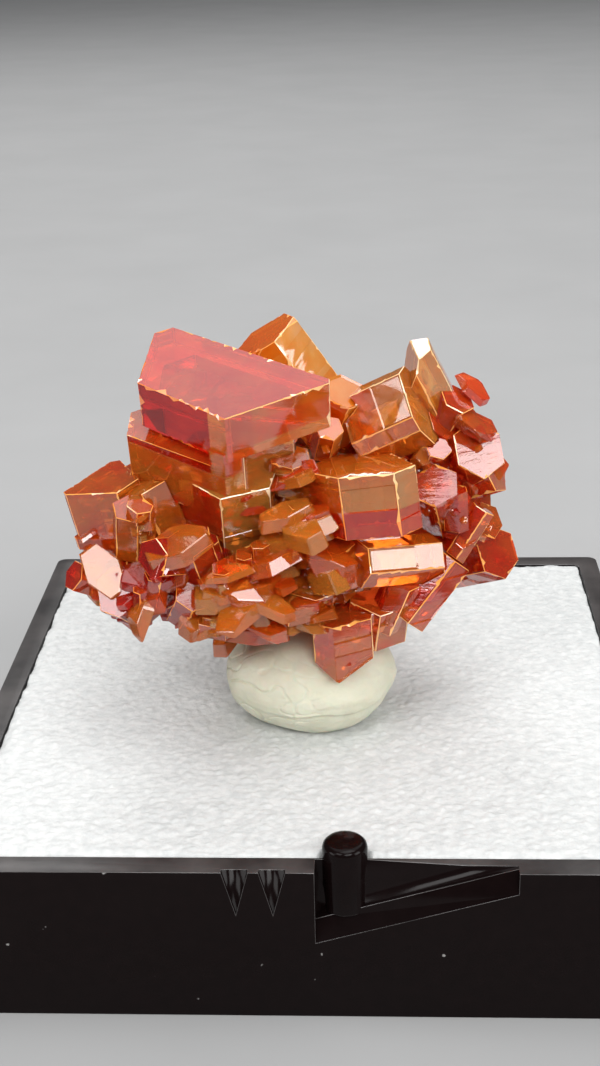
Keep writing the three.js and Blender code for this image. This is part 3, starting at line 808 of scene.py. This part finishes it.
# noise_vector shifts its pattern by this seed, and without one by the clock
noise.seed_set(BEAD_SEED)
foam_material, tree, shader = start_material("white_bead_foam", Roughness=0.55)
foam_tint = noise_node(tree, 2200, detail=3)
foam_colours = [(0.35, (0.56, 0.575, 0.57)), (0.65, (0.66, 0.67, 0.66))]
tree.links.new(ramp_node(tree, foam_tint, foam_colours), shader.inputs["Base Color"])
tree.links.new(range_node(tree, noise_node(tree, 5200, detail=2), 0.25, 0.75), shader.inputs["Roughness"])
bump_node(tree, shader, noise_node(tree, 5200, detail=4), 0.6, 0.05 * MM)


def bead_height(place):
    """How far a point of the foam's top sinks: least over a bead's middle, most between beads."""
    nudge = noise.noise_vector(place / (0.8 * BEAD)) * 0.35
    near, next_near = noise.voronoi(place / BEAD + nudge)[0][:2]
    crease = min(1.0, (next_near - near) * 1.6)
    hollow = 0.5 + 0.5 * noise.noise(place / (3.1 * BEAD))
    return BEAD_RISE * (1 - crease) + 1.2 * BEAD_RISE * hollow


bm = bmesh.new()
half = (foam_high.x - foam_low.x) / 2
bmesh.ops.create_grid(bm, x_segments=FOAM_SEGMENTS, y_segments=FOAM_SEGMENTS, size=half)
for vertex in bm.verts:
    flat = Vector((vertex.co.x, vertex.co.y, 0))
    edge = half - max(abs(flat.x), abs(flat.y))
    torn = max(0.0, 1 - edge / TORN_RIM) * TORN_DEPTH * (0.6 + 0.8 * noise.noise(flat / (2 * BEAD)))
    vertex.co.z = foam_high.z - bead_height(flat) - torn
    if (flat.xy - post_middle.xy).length < post_radius + POST_CLEARANCE:
        vertex.co.z -= POST_WELL
skirt = bmesh.ops.extrude_edge_only(bm, edges=[e for e in bm.edges if e.is_boundary])
for element in skirt["geom"]:
    if isinstance(element, bmesh.types.BMVert):
        element.co.z = foam_low.z
bmesh.ops.holes_fill(bm, edges=[e for e in bm.edges if e.is_boundary], sides=0)
bmesh.ops.recalc_face_normals(bm, faces=bm.faces)
foam = finish_piece(bm, "foam", foam_material, ["foam_insert"])
foam.data.shade_smooth()

# %% [markdown]
# ## The mineral tack
# Tack is a stiff putty rolled between fingers, pressed onto the foam and pushed up against the
# stone. So it starts as a fine ball, gets the soft dents of a finger and one overhang low in front,
# is flattened where it meets the foam, and its top gives way wherever a crystal reaches into it.
# Where a point lies inside a crystal, a line straight down finds the crystal's underside, and the
# point is put just below it.

# %% Measure the tack
TACK_FLATTENED = 1.14
FOLD_RISE = 1.45 * MM
FOLD_DEPTH = 0.20 * MM
FOLD_REACH = 0.7 * MM
FOLD_LIP = 0.12 * MM
FOLD_WAVER = 0.22 * MM
CREASE_DEPTH = 0.13 * MM
CREASE_WIDTH = 0.06
WRINKLE_DEPTH = 0.05 * MM
PRESS_GAP = 0.03 * MM

tack_low, tack_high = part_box("mineral_tack")
tack_half = (tack_high - tack_low) / 2
tack_half.z = TACK_FLATTENED * (tack_high.z - tack_low.z) / 2
tack_middle = (tack_low + tack_high) / 2
tack_middle.z = tack_high.z - tack_half.z
fold_height = tack_low.z + FOLD_RISE
print("tack ball, mm:", [round(2 * half_size / MM, 2) for half_size in tack_half])

tack_material, tree, shader = start_material(
    "cream_tack", Roughness=0.6, Subsurface_Weight=0.2, Subsurface_Scale=0.8 * MM
)
tack_tint = noise_node(tree, 500, detail=4)
tack_colours = [(0.35, (0.62, 0.61, 0.47)), (0.65, (0.70, 0.69, 0.55))]
tree.links.new(ramp_node(tree, tack_tint, tack_colours), shader.inputs["Base Color"])
bump_node(tree, shader, noise_node(tree, 1900, detail=6, roughness=0.65), 0.5, 0.06 * MM)


def underside_tree(nodes):
    """One search tree over the solids that press into the tack."""
    joined = bmesh.new()
    for node in nodes:
        joined.from_mesh(frame["nodes"][node].data)
    tree = BVHTree.FromBMesh(joined)
    joined.free()
    return tree


pressing = underside_tree(["bottom_crystals", "lower_crystals", "matrix", "lower_left_crystals"])
DOWN = Vector((0, 0, -1))


def pressed_below(point):
    """The point, or a place just under the crystal that it was inside."""
    for _ in range(8):
        place, normal, _index, _distance = pressing.ray_cast(point, DOWN)
        if place is None or normal.z > 0:
            return point
        point = place + DOWN * PRESS_GAP
    return point


# %% Roll the tack
bm = bmesh.new()
bmesh.ops.create_icosphere(bm, subdivisions=7, radius=1)
for vertex in bm.verts:
    ball = vertex.co.copy()
    dents = 0.05 * noise.noise(ball * 1.4 + Vector((4, 1, 7))) + 0.02 * noise.noise(ball * 3.5)
    creases = abs(noise.noise(ball * 3.2 + Vector((1, 5, 2))))
    wrinkles = noise.fractal(ball * 4, 0.9, 2.1, 5)
    point = tack_middle + Vector([b * h for b, h in zip(ball * (1 + dents), tack_half)])
    fold_line = fold_height + FOLD_WAVER * noise.noise(Vector((ball.x * 2.5, ball.y, 3)))
    below = fold_line - point.z
    overhang = max(0.0, min(1.0, below / FOLD_LIP)) * math.exp(-max(0.0, below) / FOLD_REACH)
    overhang *= max(0.0, min(1.0, -1.6 * ball.y)) * max(0.0, 1 - ((ball.x - 0.15) / 0.8) ** 2)
    crease = CREASE_DEPTH * max(0, CREASE_WIDTH - creases) / CREASE_WIDTH * max(0.0, 0.35 - ball.x)
    point -= Vector((ball.x, ball.y, 0)) * (FOLD_DEPTH * overhang + crease + WRINKLE_DEPTH * wrinkles)
    point.z = max(point.z, tack_low.z)
    vertex.co = pressed_below(point)
tack = finish_piece(bm, "tack", tack_material, ["mineral_tack"])
tack.data.shade_smooth()

# %% [markdown]
# ## The box base
# The base is one injection moulding in glossy black polystyrene. A mould never leaves a knife edge, so
# every outer edge is rounded a little, and that round is what draws the thin bright line along the rim,
# with a lighter grey painted into the round as sheen. The plastic has a faint brown cast, smudges from
# handling and a few specks of dust. The wall tops rub against a lid, so they are duller, and they carry the
# same lighter grey as a painted reflection. The top of the post is rounded more than the rest.

# %% Plastic finishes
box_material, tree, shader = start_material(
    "black_box_plastic", IOR=1.45, Roughness=0.12, Specular_IOR_Level=0.12
)
dust = ramp_node(
    tree, noise_node(tree, 1700, detail=2, roughness=0.4),
    [(0.0, (0.004, 0.002, 0.002)), (0.76, (0.006, 0.003, 0.003)), (0.79, (0.30, 0.29, 0.28))],
)
tree.links.new(dust, shader.inputs["Base Color"])
smudges = noise_node(tree, 160, detail=6, roughness=0.6, distortion=1.2)
tree.links.new(range_node(tree, smudges, 0.04, 0.24), shader.inputs["Roughness"])
bump_node(tree, shader, noise_node(tree, 420, detail=2), 0.06, 0.05 * MM)

rim_material, tree, shader = start_material(
    "polished_box_edge_painted_sheen", IOR=1.6, Roughness=0.2, Specular_IOR_Level=0.9
)
rim_sheen_noise = noise_node(tree, 700, detail=4)
# the rounded edges get a lighter grey than the body, varying at random: painted sheen
rim_sheen_colours = [(0.35, (0.012, 0.010, 0.010)), (0.65, (0.07, 0.062, 0.06))]
tree.links.new(ramp_node(tree, rim_sheen_noise, rim_sheen_colours), shader.inputs["Base Color"])

wall_top_material, tree, shader = start_material(
    "worn_wall_top_painted_sheen", IOR=1.45, Roughness=0.35, Specular_IOR_Level=0.3
)
# the wall tops take the same lighter grey: a painted reflection
tree.links.new(ramp_node(tree, noise_node(tree, 260, detail=5), rim_sheen_colours), shader.inputs["Base Color"])
print("plastic finishes:", [m.name for m in (box_material, rim_material, wall_top_material)])

# %% Round the box edges
POST_ROUND = 0.3 * MM
EDGE_ROUND = 0.08 * MM
BODY_FINISH, RIM_FINISH, WALL_TOP_FINISH = range(3)


def over_post(place, share=1.0):
    return (place.xy - post_middle.xy).length < share * post_radius


bm = node_copy("box_base")
steep = [e for e in bm.edges if e.is_manifold and e.is_convex and e.calc_face_angle(0) > math.radians(50)]
post_top = max(p.z for p in post_points)
dome = [e for e in steep if all(v.co.z > post_top - MERGE and over_post(v.co, 1.2) for v in e.verts)]
others = [e for e in steep if e not in dome]
for edges, offset, finish in ((dome, POST_ROUND, BODY_FINISH), (others, EDGE_ROUND, RIM_FINISH)):
    made = bmesh.ops.bevel(
        bm, geom=edges, offset=offset, offset_type="OFFSET", segments=3, profile=0.5,
        affect="EDGES", material=-1, clamp_overlap=True,
    )
    for face in made["faces"]:
        face.material_index = finish
bmesh.ops.dissolve_degenerate(bm, dist=MERGE, edges=bm.edges)
for face in bm.faces:
    middle_place = face.calc_center_median()
    if face.normal.z > 0.99 and middle_place.z > foam_high.z - 0.5 * MM:
        face.material_index = BODY_FINISH if over_post(middle_place) else WALL_TOP_FINISH
box = finish_piece(bm, "box", (box_material, rim_material, wall_top_material), ["box_base"])
box.data.shade_smooth()
box.data.set_sharp_from_angle(angle=math.radians(35))
